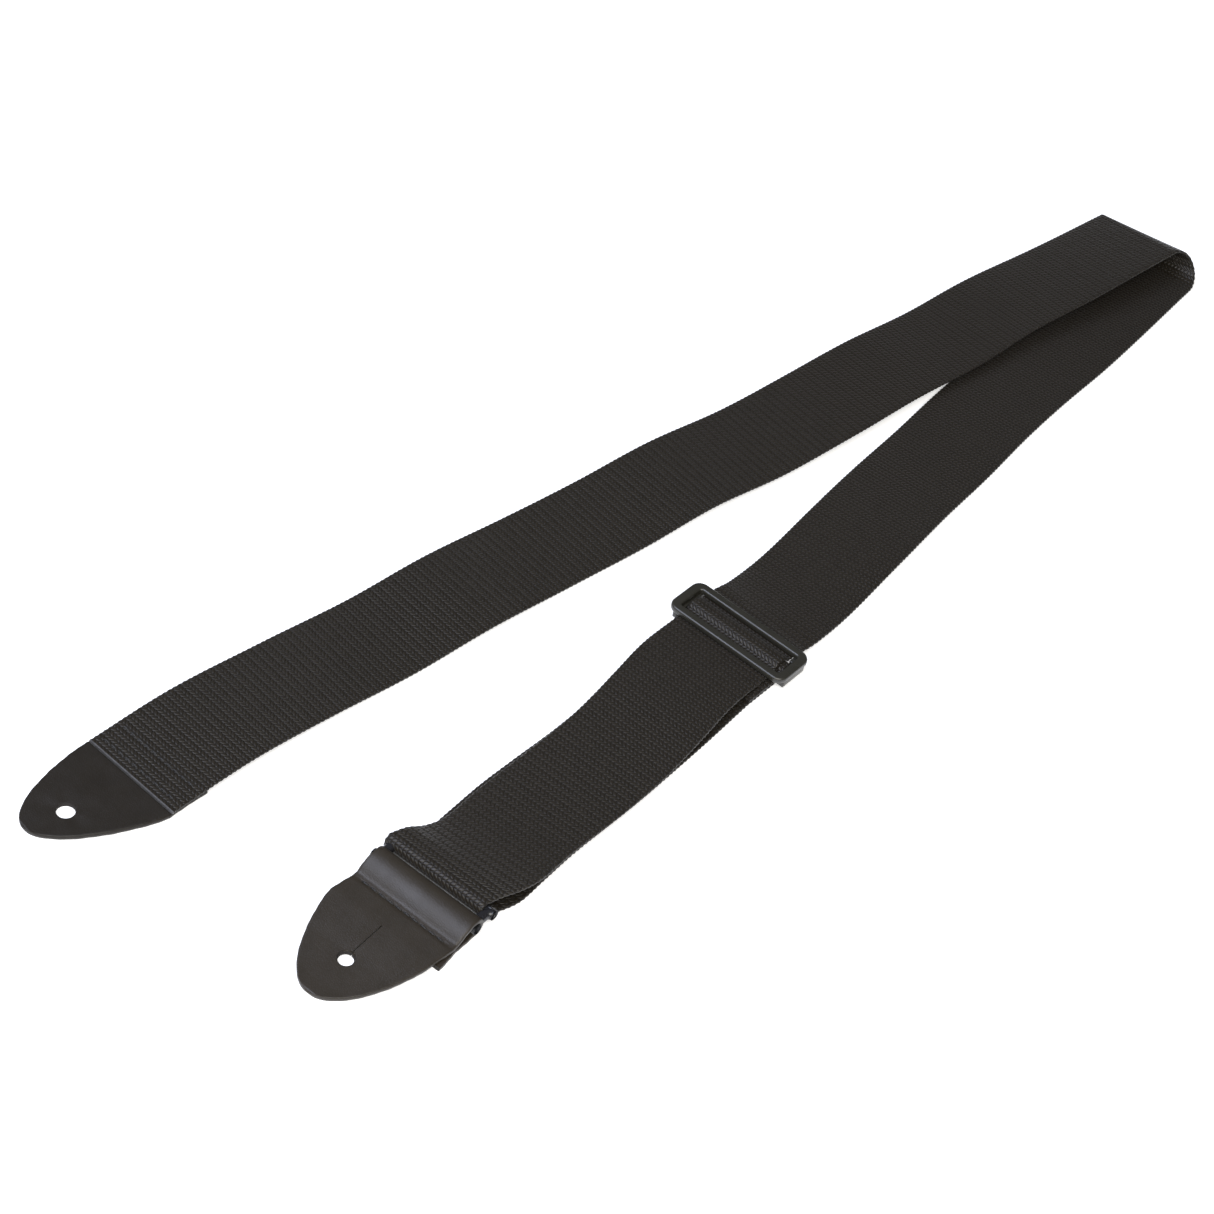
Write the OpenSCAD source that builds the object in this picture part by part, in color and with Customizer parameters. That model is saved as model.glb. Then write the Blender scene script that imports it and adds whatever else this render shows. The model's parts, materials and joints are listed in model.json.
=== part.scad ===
// Guitar strap: woven webbing folded back on itself, three-bar slider, end ring and two leather
// strap-button tabs. Millimetres, +Z up, +X along the short leg toward the fold, +Y to the left.
// The origin is the centre of the bounding box at the surface the strap lies on.

/* [Webbing] */
// Webbing width
web_w = 49.5; // [44:0.5:50]
// Webbing thickness
web_t = 1.5; // [1.2:0.1:1.5]
// Height of the first crease of the long leg above the surface
crease_z = 4; // [3.2:0.1:6]
// Height of the long leg's middle where it turns over
fold_z = 12.5; // [9:0.5:14]
// Twist of the long leg at the fold, front edge up
fold_roll = 9; // [0:0.5:10]
// How far the fold bulges beyond a half circle
fold_bulge = 1.4; // [1:0.05:1.5]

/* [Slider] */
// Slider size along the strap
slider_l = 22.7; // [21:0.1:30]
// Slider size across the strap
slider_w = 63; // [60:0.5:66]
// Slider frame thickness
slider_t = 3.2; // [2.5:0.1:4.5]
// Inner width of the slider's slots
slot_w = 54; // [54:0.5:56]
// Slider corner radius
slider_r = 5; // [3:0.5:5]

/* [Ring] */
// Ring bar diameter
ring_bar = 4.5; // [4:0.1:4.5]
// Distance between the middles of the ring's two long bars
ring_pitch = 10; // [9.5:0.5:14]
// Distance between the middles of the ring's two ends
ring_span = 59.3; // [59:0.1:64]

/* [Leather tabs] */
// Leather thickness
hide_t = 2.2; // [1.6:0.1:2.2]
// Button tab width at the ring
tab_w = 51.6; // [48:0.2:52]
// Length of the button tab's tongue, from the tip to its full width
tongue_l = 41; // [34:0.5:42]
// Button tab hole diameter
button_hole = 6.6; // [6:0.1:8]
// Slit width
slit_w = 0.5; // [0.3:0.1:1]
// Slit length from the middle of the hole
slit_l = 20; // [12:0.5:22]
// Fixed tab hole diameter
fixed_hole = 7.6; // [6:0.1:8]
// Length of the fixed tab's lap under the webbing
lap_l = 19.5; // [12:0.5:24]

/* [Stitches] */
// Thread diameter
thread_d = 0.8; // [0.6:0.1:0.8]
// Stitch length
stitch = 4.2; // [3:0.2:6]

/* [Hidden] */
$fn = 48;

// middle of the bounding box, measured from the button tab's hole
mid_x = 301.3;
mid_y = 55;
half_t = web_t / 2;
half_w = web_w / 2;
joint_gap = 0.1;

// long leg: middle line from the fixed tab to the fold
LONG_LEG = [
    [5.5, 118.5, 3.1],
    [48, 115.5, crease_z],
    [92, 110, 2.5],
    [136, 103.5, 1],
    [180, 97.5, 2.5],
    [224, 91, 1],
    [268, 83.5, 1.5],
    [312, 76.5, 3.5],
    [356, 67.5, 3],
    [400, 60, 5],
    [444, 54, 6],
    [488, 46.5, 6],
    [532, 40.5, 8],
    [578, 31, 10],
    [636, 20.5, fold_z]
];
roll_from = 450;
roll_to = 636;
long_end = len(LONG_LEG) - 1;

// ring and slider positions
bar_z = 4.6;
near_bar_x = 44;
far_bar_x = near_bar_x + ring_pitch;
ring_y = -0.8;
bar_r = ring_bar / 2;
bar_gap = 0.1;
wrap_in = bar_r + bar_gap;
web_wrap_out = wrap_in + web_t;
hide_wrap_out = wrap_in + hide_t;

slider_x = 247;
slider_y = -3.6;
slider_turn = -2;
// how far the crossing webbing and the sewn end sit off the slider's middle
cross_dy = 0.6;
end_dy = -2.1;
centre_bar_half = 2.5;
centre_bar_r = 1.5;
centre_bar_z = web_t + bar_gap + centre_bar_r;
slot_l = 4.5;
frame_z = 4.8;
// radii of the two webbing layers round the centre bar
end_x = centre_bar_half - centre_bar_r;
inner_wrap = centre_bar_r + bar_gap + half_t;
outer_wrap = inner_wrap + web_t + bar_gap;
under_z = 3.97;
tail_z = 2.37;
tail_l = 26;
cross_l = 12.5;

// a point given in the slider's own, slightly turned frame
function on_slider(x, y, z) = [
    slider_x + x * cos(slider_turn) - y * sin(slider_turn),
    slider_y + x * sin(slider_turn) + y * cos(slider_turn),
    z
];

// short leg: middle line from the slider to the fold
SHORT_LEG = [
    on_slider(cross_l, cross_dy, under_z),
    [272, -5, 2.8],
    [300, -4.5, half_t],
    [340, -2.5, 2],
    [380, 0, 1.5],
    [420, 1.5, half_t],
    [460, 3.5, 1],
    [500, 4.5, half_t],
    [540, 4, half_t],
    [580, 5, half_t],
    [631, 6.5, half_t]
];
short_end = len(SHORT_LEG) - 1;

// upper layer of the adjusting loop, from the ring to the slider
LOOP_TOP = [
    [far_bar_x + joint_gap, 1.5, bar_z + wrap_in + half_t, 0],
    [61, -0.8, 7.6, 1],
    [69, -4.2, 6.6, 4],
    [80, -6, 5.4, 5],
    [100, -5.2, 3.9, 3.5],
    [130, -6.2, 3.3, 2],
    [155, -6.6, 3.4, 1.5],
    [172, -5.8, 3.8, 1.5],
    [190, -4.4, 4.6, 1],
    [212, -2.4, 4.8, 0.5],
    concat(on_slider(-cross_l, cross_dy, under_z), 0)
];
loop_end = len(LOOP_TOP) - 1;

// return layer, from the ring to the end of the sewn tail
LOOP_RETURN = [
    [far_bar_x + joint_gap, 1.5, bar_z - wrap_in - half_t],
    [61, -1.8, 1.1],
    [70, -4, half_t],
    [84, -3.8, half_t],
    [104, -3.5, half_t],
    [126, -4.4, half_t],
    [150, -5.4, half_t],
    [185, -5.4, half_t],
    on_slider(-tail_l - joint_gap, end_dy, half_t)
];
return_end = len(LOOP_RETURN) - 1;

// fixed tab: middle of its seam, heading of its web side, tongue heading and hole
seam = [5.2, 119.2];
seam_turn = -4;
tongue_turn = -12.5;
fixed_hole_at = [-23.5, 124];
fixed_tongue = 49;
fixed_w = 49.5;
flex_gap = 0.4;

// button tab stations along its middle line
full_x = 20;
stitch_x = 33;
ply_end = 21.5;
lap_from = 24;
ply_gap = 0.1;
floor_gap = bar_z - hide_wrap_out;
top_ply_z = floor_gap + hide_t + ply_gap;

function unit(v) = v / norm(v);
function mix(a, b, t) = a + (b - a) * t;
function clamp01(t) = min(1, max(0, t));
function ramp(v, a, b) = let (t = clamp01((v - a) / (b - a))) t * t * (3 - 2 * t);

// smooth line through a list of points, u counts points; the ends run on straight
function point_at(p, k) =
    k < 0 ? 2 * p[0] - p[1] :
    k > len(p) - 1 ? 2 * p[len(p) - 1] - p[len(p) - 2] : p[k];
function along(p, u) =
    let (
        i = min(len(p) - 2, max(0, floor(u))),
        t = u - i,
        a = point_at(p, i - 1),
        b = p[i],
        c = p[i + 1],
        d = point_at(p, i + 2)
    )
    b + (c - a) * t / 2 + (2 * a - 5 * b + 4 * c - d) * t * t / 2
    + (3 * b - a - 3 * c + d) * t * t * t / 2;
function heading(p, u) = let (d = along(p, u + 0.01) - along(p, u - 0.01)) atan2(d[1], d[0]);
function side(h, roll) = [-sin(h) * cos(roll), cos(h) * cos(roll), -sin(roll)];

// a cross line of the webbing is [left end, right end]
function cross_line(c, s) = [c + s * half_w, c - s * half_w];
function long_line(u) =
    let (c = along(LONG_LEG, u), roll = fold_roll * clamp01((c[0] - roll_from) / (roll_to - roll_from)))
    cross_line(c, side(heading(LONG_LEG, u), roll));
function short_line(u) =
    let (c = along(SHORT_LEG, u), h = mix(slider_turn, heading(SHORT_LEG, u), clamp01(u)))
    cross_line(c, side(h, 0));
// the two layers of the loop turn from the ring's direction to the slider's
function loop_turn(x) = slider_turn * ramp(x, far_bar_x, slider_x - tail_l);
function loop_line(u) =
    let (p = along(LOOP_TOP, u)) cross_line([p[0], p[1], p[2]], side(loop_turn(p[0]), p[3]));
function return_line(u) =
    let (c = along(LOOP_RETURN, u)) cross_line(c, side(loop_turn(c[0]), 0));

// the fold: each edge goes round its own half ellipse, f is 0 below and 1 above
fold_lead_low = 1;
fold_lead_high = 5;
low = short_line(short_end);
high = long_line(long_end);
function hermite(a, b, ma, mb, f) =
    a * (1 + 2 * f) * (1 - f) * (1 - f) + ma * f * (1 - f) * (1 - f)
    + b * f * f * (3 - 2 * f) - mb * f * f * (1 - f);
function fold_edge(k, f) =
    let (a = low[k], b = high[k], r = (b[2] - a[2]) / 2)
    [
        mix(a[0], b[0], f) + fold_bulge * r * sin(180 * f),
        hermite(a[1], b[1], fold_lead_low, fold_lead_high, f),
        a[2] + r * (1 - cos(180 * f))
    ];
function fold_line(f) = [fold_edge(0, f), fold_edge(1, f)];

function middle(s) = (s[0] + s[1]) / 2;
function lift(lines, i) =
    let (
        a = middle(lines[max(0, i - 1)]),
        b = middle(lines[min(len(lines) - 1, i + 1)])
    )
    unit(cross(b - a, lines[i][0] - lines[i][1])) * half_t;

// closed solid band through a list of cross lines
module band(lines) {
    n = len(lines);
    pts = [
        for (i = [0:n - 1])
            let (up = lift(lines, i))
            each [lines[i][0] - up, lines[i][1] - up, lines[i][1] + up, lines[i][0] + up]
    ];
    skin = [
        for (i = [0:n - 2], k = [0:3])
            let (a = 4 * i + k, b = 4 * i + (k + 1) % 4)
            each [[a, b, b + 4], [a, b + 4, a + 4]]
    ];
    polyhedron(points = pts, faces = concat([[3, 2, 1], [3, 1, 0]], skin,
        [[4 * n - 4, 4 * n - 3, 4 * n - 2], [4 * n - 4, 4 * n - 2, 4 * n - 1]]), convexity = 8);
}

module placed() translate([-mid_x, -mid_y, 0]) children();

// puts a shape made round the slider's middle in its place
module at_slider() placed() translate([slider_x, slider_y, 0]) rotate(slider_turn) children();

// side profile in X and Z, given a width in Y
module across(y, w) translate([0, y + w / 2, 0]) rotate([90, 0, 0]) linear_extrude(w) children();

// strip of even thickness along a flat centre line
module strip(line, t) {
    n = len(line);
    nrm = [
        for (i = [0:n - 1])
            let (d = unit(line[min(n - 1, i + 1)] - line[max(0, i - 1)])) [-d[1], d[0]]
    ];
    polygon(concat(
        [for (i = [0:n - 1]) line[i] + nrm[i] * t / 2],
        [for (i = [n - 1:-1:0]) line[i] - nrm[i] * t / 2]
    ));
}

function arc(c, r, a0, a1, n) = [for (i = [0:n]) let (a = mix(a0, a1, i / n)) c + r * [cos(a), sin(a)]];

long_step = 0.25;
module long_leg_webbing() color("#2b2926") placed()
    band([for (u = [0:long_step:long_end - long_step]) long_line(u), long_line(long_end - 0.002)]);

fold_n = 24;
module fold_webbing() color("#2e2c29") placed()
    band([for (i = [0:fold_n]) fold_line(i / fold_n)]);

short_step = 0.25;
module short_leg_webbing() color("#2b2926") placed()
    band([for (u = [0:short_step:short_end]) short_line(u)]);

// webbing over the wrapped centre bar and under both outer bars
turn_r = 2;
arc_trim = 8;
turn_z = under_z + turn_r;
turn_x = end_x + sqrt(pow(outer_wrap + turn_r, 2) - pow(turn_z - centre_bar_z, 2));
turn_a = asin((turn_z - centre_bar_z) / (outer_wrap + turn_r));
module slider_crossing_webbing() color("#33312e") at_slider()
    across(cross_dy, web_w) strip(concat(
        [[-cross_l + joint_gap, under_z]],
        arc([-turn_x, turn_z], turn_r, -90, -turn_a, 6),
        arc([-end_x, centre_bar_z], outer_wrap, 180 - turn_a - arc_trim, 90, 8),
        arc([end_x, centre_bar_z], outer_wrap, 90, turn_a + arc_trim, 8),
        arc([turn_x, turn_z], turn_r, 180 + turn_a, 270, 6),
        [[cross_l - joint_gap, under_z]]
    ), web_t);

// the webbing's own end, round the centre bar and back on the return layer
tail_r = 1.5;
tail_turn_z = tail_z + tail_r;
tail_turn_x = end_x + sqrt(pow(inner_wrap + tail_r, 2) - pow(tail_turn_z - centre_bar_z, 2));
tail_a = asin((tail_turn_z - centre_bar_z) / (inner_wrap + tail_r));
module sewn_end_webbing() color("#33312e") at_slider() difference() {
    across(end_dy, web_w) strip(concat(
        [[-tail_l, half_t]],
        arc([end_x, centre_bar_z], inner_wrap, -90, 90, 16),
        arc([-end_x, centre_bar_z], inner_wrap, 90, 180 - tail_a - arc_trim, 8),
        arc([-tail_turn_x, tail_turn_z], tail_r, -tail_a, -90, 6),
        [[-tail_l, tail_z]]
    ), web_t);
    tack(slit_gap, -1);
}

loop_step = 0.25;
module loop_top_webbing() color("#2b2926") placed()
    band([for (u = [0:loop_step:loop_end - loop_step]) loop_line(u), loop_line(loop_end)]);

module loop_return_webbing() color("#262421") placed()
    band([for (u = [0:loop_step:return_end]) return_line(u)]);

module ring_wrap_webbing() color("#33312e") placed() intersection() {
    translate([far_bar_x, half_w + LOOP_TOP[0][1], bar_z]) rotate([90, 0, 0]) difference() {
        cylinder(r = web_wrap_out, h = web_w);
        translate([0, 0, -1]) cylinder(r = wrap_in, h = web_w + 2);
    }
    translate([far_bar_x - 2 * web_wrap_out, -web_w, 0])
        cube([2 * web_wrap_out, 2 * web_w, 4 * web_wrap_out]);
}

// outline of a tongue, tip at -X; its half width narrows along a rounded curve
tip_power = 1.3;
tongue_n = 40;
function half_width(t, w) = w / 2 * sqrt(1 - pow(t, tip_power));
module tongue_outline(l, w) polygon(concat(
    [for (i = [0:tongue_n]) let (t = sin(90 * i / tongue_n)) [-l * t, half_width(t, w)]],
    [for (i = [tongue_n - 1:-1:0]) let (t = sin(90 * i / tongue_n)) [-l * t, -half_width(t, w)]]
));

module fixed_tab_tongue() color("#3b3733") placed() difference() {
    translate([seam[0], seam[1], 0]) difference() {
        rotate(tongue_turn) linear_extrude(hide_t)
            translate([2, 1]) tongue_outline(fixed_tongue, fixed_w + 2);
        rotate(seam_turn) translate([-flex_gap, -web_w, -1]) cube([web_w, 2 * web_w, 2 * hide_t]);
    }
    translate([fixed_hole_at[0], fixed_hole_at[1], -1]) cylinder(d = fixed_hole, h = 2 * hide_t);
}

// two rows of stitches across the lap, lying on the webbing
lap_rows = [5, 15];
lap_edge = 2.5;
lap_stitches = floor((fixed_w - 2 * lap_edge) / stitch);
hole_d = thread_d + 0.1;
// share of a stitch that lies inside the leather or webbing
stitch_rest = 0.2;
// height of the long leg's middle at x from its seam
function long_z(x) = along(LONG_LEG, x / (LONG_LEG[1][0] - LONG_LEG[0][0]))[2];
module on_lap() translate([seam[0], seam[1], 0]) rotate(seam_turn) children();

module fixed_tab_lap() color("#3b3733") placed() on_lap()
    translate([0, -fixed_w / 2, 0]) cube([lap_l, fixed_w, hide_t]);

module fixed_tab_stitches() color("#1e1c1a") placed() on_lap()
    for (x = lap_rows, i = [0:lap_stitches - 1])
        translate([x, (i - lap_stitches / 2 + stitch_rest / 2) * stitch,
            long_z(x) + half_t + thread_d / 2 + skin_gap])
            rotate([-90, 0, 0]) cylinder(d = thread_d, h = stitch * (1 - stitch_rest));

// button tab: leather round the ring's near bar, sewn to itself
ply_in = [stitch_x + 0.5, top_ply_z];
ply_d = norm([near_bar_x, bar_z] - ply_in);
ply_slope = atan2(bar_z - ply_in[1], near_bar_x - ply_in[0]) + asin(wrap_in / ply_d);
touch_in = [near_bar_x, bar_z] + wrap_in * [-sin(ply_slope), cos(ply_slope)];
touch_out = [near_bar_x, bar_z] + hide_wrap_out * [-sin(ply_slope), cos(ply_slope)];
bend_out = ply_in + hide_t * [-tan(ply_slope / 2), 1];
flat_to = 8;
tab_y = -1.2;
tongue_y = 0.2;
tongue_w = 52;

// tongue and upper ply
module button_profile()
    polygon([
        [-full_x, 0], [flat_to, 0], [full_x, top_ply_z], ply_in, touch_in, touch_out, bend_out,
        [full_x, top_ply_z + hide_t], [flat_to, hide_t], [-full_x, hide_t]
    ]);

// return ply, its free end a little to one side
under_dy = -1.2;
module return_ply()
    translate([0, 0, floor_gap]) linear_extrude(hide_t) polygon([
        [ply_end, tab_y + under_dy - tab_w / 2],
        [stitch_x, tab_y - tab_w / 2],
        [near_bar_x, tab_y - tab_w / 2],
        [near_bar_x, tab_y + tab_w / 2],
        [stitch_x, tab_y + tab_w / 2],
        [ply_end, tab_y + under_dy + tab_w / 2]
    ]);

stitch_count = 10;
module tab_holes(d, z0, z1)
    for (i = [0:stitch_count])
        translate([stitch_x - 2.5, tab_y + (i - stitch_count / 2) * stitch, z0])
            cylinder(d = d, h = z1 - z0);

module button_tab_leather() color("#3b3733") placed() difference() {
    union() {
        return_ply();
        intersection() {
            across(tab_y, tab_w + 10) button_profile();
            union() {
                translate([full_x, tongue_y, -1]) linear_extrude(20) tongue_outline(tongue_l, tongue_w);
                translate([0, 0, -1]) linear_extrude(20) polygon([
                    [full_x - 0.01, tongue_y - tongue_w / 2],
                    [full_x + 10, tab_y - tab_w / 2],
                    [2 * near_bar_x, tab_y - tab_w / 2],
                    [2 * near_bar_x, tab_y + tab_w / 2],
                    [full_x + 10, tab_y + tab_w / 2],
                    [full_x - 0.01, tongue_y + tongue_w / 2]
                ]);
            }
        }
        intersection() {
            translate([near_bar_x, tab_y + tab_w / 2, bar_z]) rotate([90, 0, 0])
                difference() {
                    cylinder(r = hide_wrap_out, h = tab_w);
                    translate([0, 0, -1]) cylinder(r = wrap_in, h = tab_w + 2);
                }
            translate([touch_out[0], -tab_w, 0]) difference() {
                cube([3 * hide_wrap_out, 2 * tab_w, 20]);
                // keep the wrap clear of the triangle between the plies
                translate([-1, -1, floor_gap + hide_t])
                    cube([near_bar_x - touch_out[0] + 1, 2 * tab_w + 2, touch_in[1] - floor_gap - hide_t]);
            }
        }
    }
    translate([0, 0, -1]) cylinder(d = button_hole, h = 3 * hide_t);
    translate([0, -slit_w / 2, -1]) cube([slit_l, slit_w, 4 * hide_t]);
    tab_holes(hole_d, -1, 20);
}

module button_tab_stitches() color("#1e1c1a") placed() {
    top = top_ply_z + hide_t;
    for (i = [0:stitch_count])
        translate([stitch_x - 2.5, tab_y + (i - stitch_count / 2) * stitch, floor_gap])
            cylinder(d = thread_d, h = top - floor_gap + thread_d / 2);
    for (i = [0:stitch_count - 1])
        translate([stitch_x - 2.5, tab_y + (i - stitch_count / 2) * stitch, top + thread_d / 2])
            rotate([-90, 0, 0]) cylinder(d = thread_d, h = stitch);
}

// bar tack rows through the tail and the return layer
tack_x = [-15, -22];
tack_count = 10;
slit_gap = 0.05;
floor_clear = 0.1;
skin_gap = 0.03;
module tack(extra, z0)
    for (x = tack_x, i = [0:tack_count - 1])
        translate([x - thread_d / 2 - extra, end_dy + (i - tack_count / 2 + stitch_rest / 2) * stitch - extra, z0])
            cube([thread_d + 2 * extra, stitch * (1 - stitch_rest) + 2 * extra, tail_z + half_t - z0 - skin_gap]);
module sewn_end_stitches() color("#1e1c1a") at_slider() tack(0, floor_clear);

module rounded_plate(l, w, r, t) linear_extrude(t) {
    square([l - 2 * r, w], center = true);
    square([l, w - 2 * r], center = true);
    for (x = [-1, 1], y = [-1, 1]) translate([x * (l / 2 - r), y * (w / 2 - r)]) circle(r);
}

cheek_l = 9;
module tri_glide_slider() color("#15161a") at_slider() {
    difference() {
        translate([0, 0, frame_z]) rounded_plate(slider_l, slider_w, slider_r, slider_t);
        translate([-centre_bar_half - slot_l, -slot_w / 2, 0])
            cube([2 * (centre_bar_half + slot_l), slot_w, 20]);
    }
    // cheeks carry the sunk centre bar
    for (y = [-1, 1])
        translate([-cheek_l / 2, y * (slot_w + slider_w) / 4 - (slider_w - slot_w) / 4,
            centre_bar_z - centre_bar_r])
            cube([cheek_l, (slider_w - slot_w) / 2, frame_z + slider_t / 2 - centre_bar_z + centre_bar_r]);
    translate([0, slot_w / 2 + 1, centre_bar_z]) rotate([90, 0, 0]) linear_extrude(slot_w + 2) {
        square([2 * end_x, 2 * centre_bar_r], center = true);
        for (x = [-1, 1]) translate([x * end_x, 0]) circle(centre_bar_r);
    }
}

ring_corner = 3;
module rectangular_ring() color("#15161a") placed() translate([near_bar_x + ring_pitch / 2, ring_y, bar_z]) {
    bar = ring_span - 2 * ring_corner;
    end = ring_pitch - 2 * ring_corner;
    for (s = [-1, 1]) {
        translate([s * ring_pitch / 2, bar / 2, 0]) rotate([90, 0, 0]) cylinder(d = ring_bar, h = bar);
        translate([-end / 2, s * ring_span / 2, 0]) rotate([0, 90, 0]) cylinder(d = ring_bar, h = end);
        for (t = [-1, 1])
            translate([s * end / 2, t * bar / 2, 0])
                rotate([0, 0, (s > 0 ? 0 : 90 * t) + (s > 0 ? (t > 0 ? 0 : -90) : (t > 0 ? 0 : -90))])
                    rotate_extrude(angle = 90) translate([ring_corner, 0]) circle(d = ring_bar);
    }
}

long_leg_webbing();
fold_webbing();
short_leg_webbing();
slider_crossing_webbing();
sewn_end_webbing();
loop_top_webbing();
loop_return_webbing();
ring_wrap_webbing();
fixed_tab_lap();
fixed_tab_tongue();
fixed_tab_stitches();
button_tab_leather();
button_tab_stitches();
sewn_end_stitches();
tri_glide_slider();
rectangular_ring();
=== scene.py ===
# Guitar strap: black webbing folded back on itself, a three-bar slider, an end ring and two leather tabs.
import bpy, json, math
import numpy as np
from mathutils import Matrix, Vector


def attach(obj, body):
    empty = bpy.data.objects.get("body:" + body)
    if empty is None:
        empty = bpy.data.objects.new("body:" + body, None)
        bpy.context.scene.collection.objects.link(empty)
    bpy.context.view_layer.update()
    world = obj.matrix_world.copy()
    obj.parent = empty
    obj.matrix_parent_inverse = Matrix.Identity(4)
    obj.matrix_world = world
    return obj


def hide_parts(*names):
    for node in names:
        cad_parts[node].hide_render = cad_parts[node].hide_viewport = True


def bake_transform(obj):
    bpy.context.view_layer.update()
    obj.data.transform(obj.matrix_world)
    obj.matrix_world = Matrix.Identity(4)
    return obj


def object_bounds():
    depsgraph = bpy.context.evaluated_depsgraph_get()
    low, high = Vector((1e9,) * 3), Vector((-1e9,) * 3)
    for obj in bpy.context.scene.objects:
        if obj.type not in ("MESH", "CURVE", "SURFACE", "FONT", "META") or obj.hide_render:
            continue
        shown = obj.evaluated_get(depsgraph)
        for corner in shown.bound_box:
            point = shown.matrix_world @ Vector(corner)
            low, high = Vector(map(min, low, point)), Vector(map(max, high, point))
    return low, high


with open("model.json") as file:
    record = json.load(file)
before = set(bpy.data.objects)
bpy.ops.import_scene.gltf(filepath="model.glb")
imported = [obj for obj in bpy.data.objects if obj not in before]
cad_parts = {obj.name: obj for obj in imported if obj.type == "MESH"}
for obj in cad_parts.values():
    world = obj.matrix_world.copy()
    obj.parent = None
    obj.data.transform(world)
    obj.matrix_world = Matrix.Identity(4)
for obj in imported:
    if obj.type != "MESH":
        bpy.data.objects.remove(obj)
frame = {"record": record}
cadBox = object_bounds()
bpy.ops.object.select_all(action="DESELECT")
mm = 0.001
mounts = {m["name"]: m["pos_m"] for m in frame["record"]["mounts"]}
tabHole = Vector(mounts["button_tab_hole"]) / mm  # every route below is measured from the button tab's hole
origin = np.array([tabHole.x, tabHole.y, 0.0])
print("frame loaded")

# camera, light, floor

stand = {
    "eye": (-0.8140, -0.4205, 0.8148),
    "target": (-0.0789, -0.0063, 0.0),
    "lens": 80.45,
    "roll": 12.55,
    "floorSize": 8.0,
    "ambient": 0.15,
}


def addCamera():
    bpy.ops.object.camera_add(location=stand["eye"])
    camera = bpy.context.object
    camera.name = "strapCamera"
    look = Vector(stand["target"]) - Vector(stand["eye"])
    turn = look.to_track_quat("-Z", "Y").to_matrix().to_4x4()
    camera.matrix_world = Matrix.Translation(stand["eye"]) @ turn @ Matrix.Rotation(math.radians(stand["roll"]), 4, "Z")
    camera.data.lens = stand["lens"]
    camera.data.sensor_width = 36
    camera.data.clip_start = 0.01
    bpy.context.scene.camera = camera
    return camera


def addSoftLight(name, place, target, size, power, colour):
    bpy.ops.object.light_add(type="AREA", location=place)
    lamp = bpy.context.object
    lamp.name = name
    lamp.data.shape = "RECTANGLE"
    lamp.data.size, lamp.data.size_y = size
    lamp.data.energy = power
    lamp.data.color = colour
    look = Vector(target) - Vector(place)
    lamp.rotation_euler = look.to_track_quat("-Z", "Y").to_euler()
    return lamp


addCamera()
addSoftLight("windowSoftbox", (-0.70, 0.60, 1.45), (0, 0, 0), (1.4, 1.0), 30, (0.74, 0.80, 1.0))
addSoftLight("frontSoftbox", (-1.30, -1.00, 1.70), (0, 0, 0), (1.6, 1.6), 54, (1.0, 0.97, 0.92))
world = bpy.data.worlds.new("studioWorld")
bpy.context.scene.world = world
world.use_nodes = True
world.node_tree.nodes["Background"].inputs["Color"].default_value = (1, 1, 1, 1)
world.node_tree.nodes["Background"].inputs["Strength"].default_value = stand["ambient"]
bpy.context.scene.view_settings.view_transform = "Standard"
print("camera and light ready")

# material helpers


def calc(tree, operation, first, second=None, third=None):
    node = tree.nodes.new("ShaderNodeMath")
    node.operation = operation
    for socket, value in zip(node.inputs, (first, second, third)):
        if value is None:
            continue
        if isinstance(value, (int, float)):
            socket.default_value = value
        else:
            tree.links.new(value, socket)
    return node.outputs[0]


def newGroup(name, inputs, outputs):
    tree = bpy.data.node_groups.new(name, "ShaderNodeTree")
    for label, kind, value in inputs:
        socket = tree.interface.new_socket(label, in_out="INPUT", socket_type=kind)
        if value is not None:
            socket.default_value = value
    for label, kind in outputs:
        tree.interface.new_socket(label, in_out="OUTPUT", socket_type=kind)
    return tree, tree.nodes.new("NodeGroupInput").outputs, tree.nodes.new("NodeGroupOutput").inputs


def noiseOn(tree, vector, scale, detail=2.0, rough=0.5):
    node = tree.nodes.new("ShaderNodeTexNoise")
    tree.links.new(vector, node.inputs["Vector"])
    node.inputs["Scale"].default_value = scale
    node.inputs["Detail"].default_value = detail
    node.inputs["Roughness"].default_value = rough
    return node.outputs["Fac"]


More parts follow.
